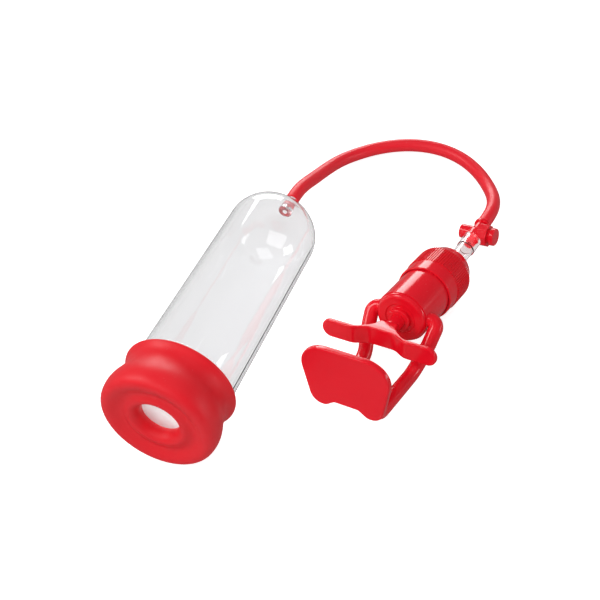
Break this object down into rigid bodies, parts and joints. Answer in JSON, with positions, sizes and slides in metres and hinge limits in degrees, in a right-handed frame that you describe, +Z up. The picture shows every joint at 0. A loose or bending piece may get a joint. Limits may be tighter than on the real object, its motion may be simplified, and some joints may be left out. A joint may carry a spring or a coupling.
{
  "type": "hand vacuum pump",
  "caption": "Hand vacuum pump: clear domed cylinder with a soft red mouth sleeve, red hose, press-button release valve and a squeeze pump with finger bar and palm pad.",
  "frame": {"origin": "on the floor, below the middle of everything but the hose", "axes": "+Z up, +Y from the cylinder's open mouth towards its dome, +X from the cylinder towards the pump"},
  "size_m": [0.1752, 0.3351, 0.0709],
  "materials": {
    "gloss_red": "glossy moulded ABS, bright red",
    "soft_red": "satin soft elastomer, bright red",
    "hose_red": "matt rubber hose, red",
    "clear_shell": "clear moulded plastic, polished",
    "clear_tube": "clear flexible vinyl",
    "pale_plastic": "natural acetal",
    "seal_rubber": "black seal rubber",
    "spring_steel": "bright drawn steel"
  },
  "bodies": {
    "pump_and_cylinder": {"soft_sleeve": "soft_red", "clear_cylinder": "clear_shell", "apex_nipple": "clear_shell", "hose": "hose_red", "hose_ferrule": "gloss_red", "valve_body": "gloss_red", "valve_end_plug": "gloss_red", "valve_spring": "spring_steel", "coupling_tube": "clear_tube", "pump_cap": "gloss_red", "cap_gasket": "seal_rubber", "ball_cage": "pale_plastic", "pump_barrel": "gloss_red", "rod_bush": "gloss_red", "spring_washer": "spring_steel", "return_spring": "spring_steel", "palm_yoke": "gloss_red"},
    "plunger": {"plunger": "gloss_red", "piston": "pale_plastic", "piston_seal": "seal_rubber", "piston_screw": "spring_steel"},
    "button": {"release_button": "gloss_red", "valve_stem": "spring_steel", "valve_seal": "seal_rubber"},
    "ball": {"check_ball": "spring_steel"}
  },
  "joints": [
    {"name": "plunger_pull", "type": "slide", "parent": "pump_and_cylinder", "child": "plunger", "axis": [-0.2152, -0.9625, 0.165], "range_m": [0, 0.025], "stiffness_N_per_m": 220, "springref_m": -0.015, "deforming": ["return_spring"]},
    {"name": "button_press", "type": "slide", "parent": "pump_and_cylinder", "child": "button", "axis": [-0.9588, 0.1813, -0.2189], "range_m": [0, 0.0015], "stiffness_N_per_m": 900, "springref_m": -0.001, "deforming": ["valve_spring"]},
    {"name": "ball_lift", "type": "slide", "parent": "pump_and_cylinder", "child": "ball", "axis": [-0.2152, -0.9625, 0.165], "range_m": [0, 0.0012]}
  ]
}
